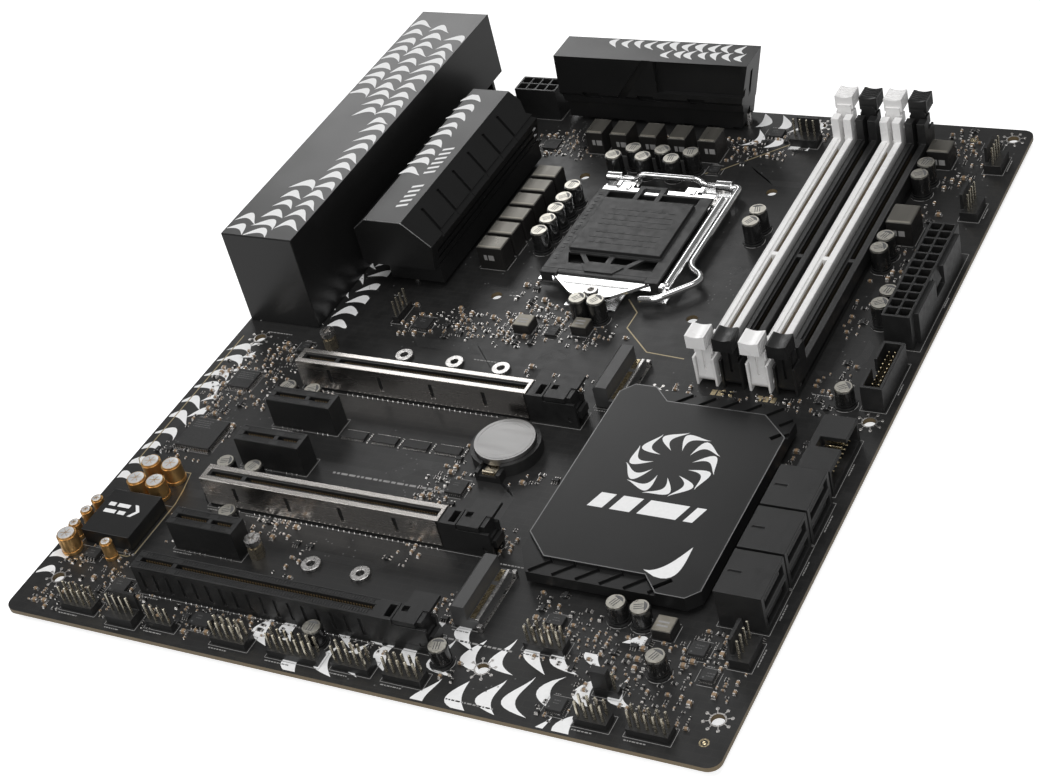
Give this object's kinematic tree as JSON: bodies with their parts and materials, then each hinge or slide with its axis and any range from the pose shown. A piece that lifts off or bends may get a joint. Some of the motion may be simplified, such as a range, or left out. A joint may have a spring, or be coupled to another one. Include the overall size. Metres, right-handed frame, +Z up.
{
  "type": "atx motherboard",
  "caption": "Flat computer board with CPU socket, memory slots, expansion slots, heatsinks, rear connector shroud and edge connectors.",
  "frame": {"origin": "centre of the corner standoff hole at the audio end, at the underside of the board", "axes": "+X away from the rear connectors, +Y towards the CPU power connector, +Z up from the board to its components"},
  "size_m": [0.2454, 0.3048, 0.0416],
  "materials": {
    "board": "matte solder mask over glass-epoxy laminate",
    "shroud": "fine-grained moulding",
    "port_steel": "bright nickel plate",
    "port_plastic": "moulded",
    "black_plastic": "moulded",
    "white_plastic": "smooth moulded",
    "black_aluminium": "black anodised, satin",
    "pad": "soft pad",
    "screw_steel": "plated",
    "green_laminate": "laminate",
    "socket_plastic": "moulded",
    "bright_steel": "polished stainless",
    "dark_steel": "blackened",
    "sleeve_steel": "polished",
    "m2_plastic": "moulded",
    "brass": "nickel-tinted",
    "cell_steel": "satin",
    "ferrite": "satin",
    "cap_black": "sleeve",
    "cap_top": "bright",
    "cap_gold": "gold lacquer",
    "pin_gold": "thin gold flash",
    "chip_epoxy": "moulded epoxy"
  },
  "bodies": {
    "board": {"pcb": "board", "io_shroud": "shroud", "rear_port_shells": "port_steel", "rear_port_sockets": "port_plastic", "audio_jacks": "black_plastic", "west_heatsink": "black_aluminium", "north_heatsink": "black_aluminium", "vrm_mosfets": "chip_epoxy", "vrm_pads": "pad", "heatsink_screws": "screw_steel", "chipset_heatsink": "black_aluminium", "chipset_package": "green_laminate", "chipset_pad": "pad", "socket_body": "socket_plastic", "ilm_frame": "bright_steel", "ilm_screws": "screw_steel", "shoulder_screw": "screw_steel", "cpu_backplate": "dark_steel", "dimm_white": "white_plastic", "dimm_black": "black_plastic", "pcie_long": "black_plastic", "pcie_sleeves": "sleeve_steel", "pcie_short": "black_plastic", "m2_connectors": "m2_plastic", "m2_nuts": "screw_steel", "m2_standoffs": "brass", "battery_holder": "black_plastic", "battery_contact": "brass", "chokes": "ferrite", "cap_sleeves": "cap_black", "cap_tops": "cap_top", "gold_caps": "cap_gold", "audio_cover": "shroud", "audio_chip": "chip_epoxy", "sata_blocks": "black_plastic", "usb3_headers": "black_plastic", "atx24_connector": "black_plastic", "eps8_connector": "black_plastic", "fan_headers": "black_plastic", "pin_bases": "black_plastic", "pins": "pin_gold", "chips": "chip_epoxy"},
    "card_clip_1": {"card_clip_1": "black_plastic"},
    "card_clip_2": {"card_clip_2": "black_plastic"},
    "card_clip_3": {"card_clip_3": "black_plastic"},
    "coin_cell": {"coin_cell": "cell_steel"},
    "jumper_cap": {"jumper_cap": "black_plastic"},
    "latch_1n": {"latch_1n": "white_plastic"},
    "latch_1s": {"latch_1s": "white_plastic"},
    "latch_2n": {"latch_2n": "black_plastic"},
    "latch_2s": {"latch_2s": "black_plastic"},
    "latch_3n": {"latch_3n": "white_plastic"},
    "latch_3s": {"latch_3s": "white_plastic"},
    "latch_4n": {"latch_4n": "black_plastic"},
    "latch_4s": {"latch_4s": "black_plastic"},
    "load_lever": {"load_lever": "bright_steel"},
    "load_plate": {"load_plate": "bright_steel"},
    "m2_screw_lower": {"m2_screw_lower": "screw_steel"},
    "m2_screw_upper": {"m2_screw_upper": "screw_steel"},
    "socket_cover": {"socket_cover": "black_plastic"}
  },
  "joints": [
    {"name": "lever_hinge", "type": "hinge", "parent": "board", "child": "load_lever", "pos_m": [0.11464, 0.23399, 0.0052], "axis": [-1, 0, 0], "range_deg": [0, 130]},
    {"name": "plate_hinge", "type": "hinge", "parent": "board", "child": "load_plate", "pos_m": [0.11464, 0.22809, 0.0058], "axis": [-1, 0, 0], "range_deg": [0, 104]},
    {"name": "cover_lift", "type": "slide", "parent": "load_plate", "child": "socket_cover", "axis": [0, 0, 1], "range_m": [0, 0.004]},
    {"name": "latch_1s_hinge", "type": "hinge", "parent": "board", "child": "latch_1s", "pos_m": [0.17084, 0.13409, 0.0048], "axis": [1, 0, 0], "range_deg": [0, 30]},
    {"name": "latch_1n_hinge", "type": "hinge", "parent": "board", "child": "latch_1n", "pos_m": [0.17084, 0.27069, 0.0048], "axis": [-1, 0, 0], "range_deg": [0, 30]},
    {"name": "latch_2s_hinge", "type": "hinge", "parent": "board", "child": "latch_2s", "pos_m": [0.17994, 0.13409, 0.0048], "axis": [1, 0, 0], "range_deg": [0, 30]},
    {"name": "latch_2n_hinge", "type": "hinge", "parent": "board", "child": "latch_2n", "pos_m": [0.17994, 0.27069, 0.0048], "axis": [-1, 0, 0], "range_deg": [0, 30]},
    {"name": "latch_3s_hinge", "type": "hinge", "parent": "board", "child": "latch_3s", "pos_m": [0.18904, 0.13409, 0.0048], "axis": [1, 0, 0], "range_deg": [0, 30]},
    {"name": "latch_3n_hinge", "type": "hinge", "parent": "board", "child": "latch_3n", "pos_m": [0.18904, 0.27069, 0.0048], "axis": [-1, 0, 0], "range_deg": [0, 30]},
    {"name": "latch_4s_hinge", "type": "hinge", "parent": "board", "child": "latch_4s", "pos_m": [0.19814, 0.13409, 0.0048], "axis": [1, 0, 0], "range_deg": [0, 30]},
    {"name": "latch_4n_hinge", "type": "hinge", "parent": "board", "child": "latch_4n", "pos_m": [0.19814, 0.27069, 0.0048], "axis": [-1, 0, 0], "range_deg": [0, 30]},
    {"name": "card_clip_1_hinge", "type": "hinge", "parent": "board", "child": "card_clip_1", "pos_m": [0.13534, 0.00489, 0.0046], "axis": [0, 1, 0], "range_deg": [0, 24]},
    {"name": "card_clip_2_hinge", "type": "hinge", "parent": "board", "child": "card_clip_2", "pos_m": [0.13534, 0.04553, 0.0046], "axis": [0, 1, 0], "range_deg": [0, 24]},
    {"name": "card_clip_3_hinge", "type": "hinge", "parent": "board", "child": "card_clip_3", "pos_m": [0.13534, 0.10649, 0.0046], "axis": [0, 1, 0], "range_deg": [0, 24]},
    {"name": "coin_cell_lift", "type": "slide", "parent": "board", "child": "coin_cell", "axis": [0, 0, 1], "range_m": [0, 0.012]},
    {"name": "jumper_lift", "type": "slide", "parent": "board", "child": "jumper_cap", "axis": [0, 0, 1], "range_m": [0, 0.01]},
    {"name": "m2_screw_upper_lift", "type": "slide", "parent": "board", "child": "m2_screw_upper", "axis": [0, 0, 1], "range_m": [0, 0.008]},
    {"name": "m2_screw_lower_lift", "type": "slide", "parent": "board", "child": "m2_screw_lower", "axis": [0, 0, 1], "range_m": [0, 0.008]}
  ],
  "couplings": [
    {"joint": "plate_hinge", "follows": "lever_hinge", "ratio": 0.8}
  ]
}
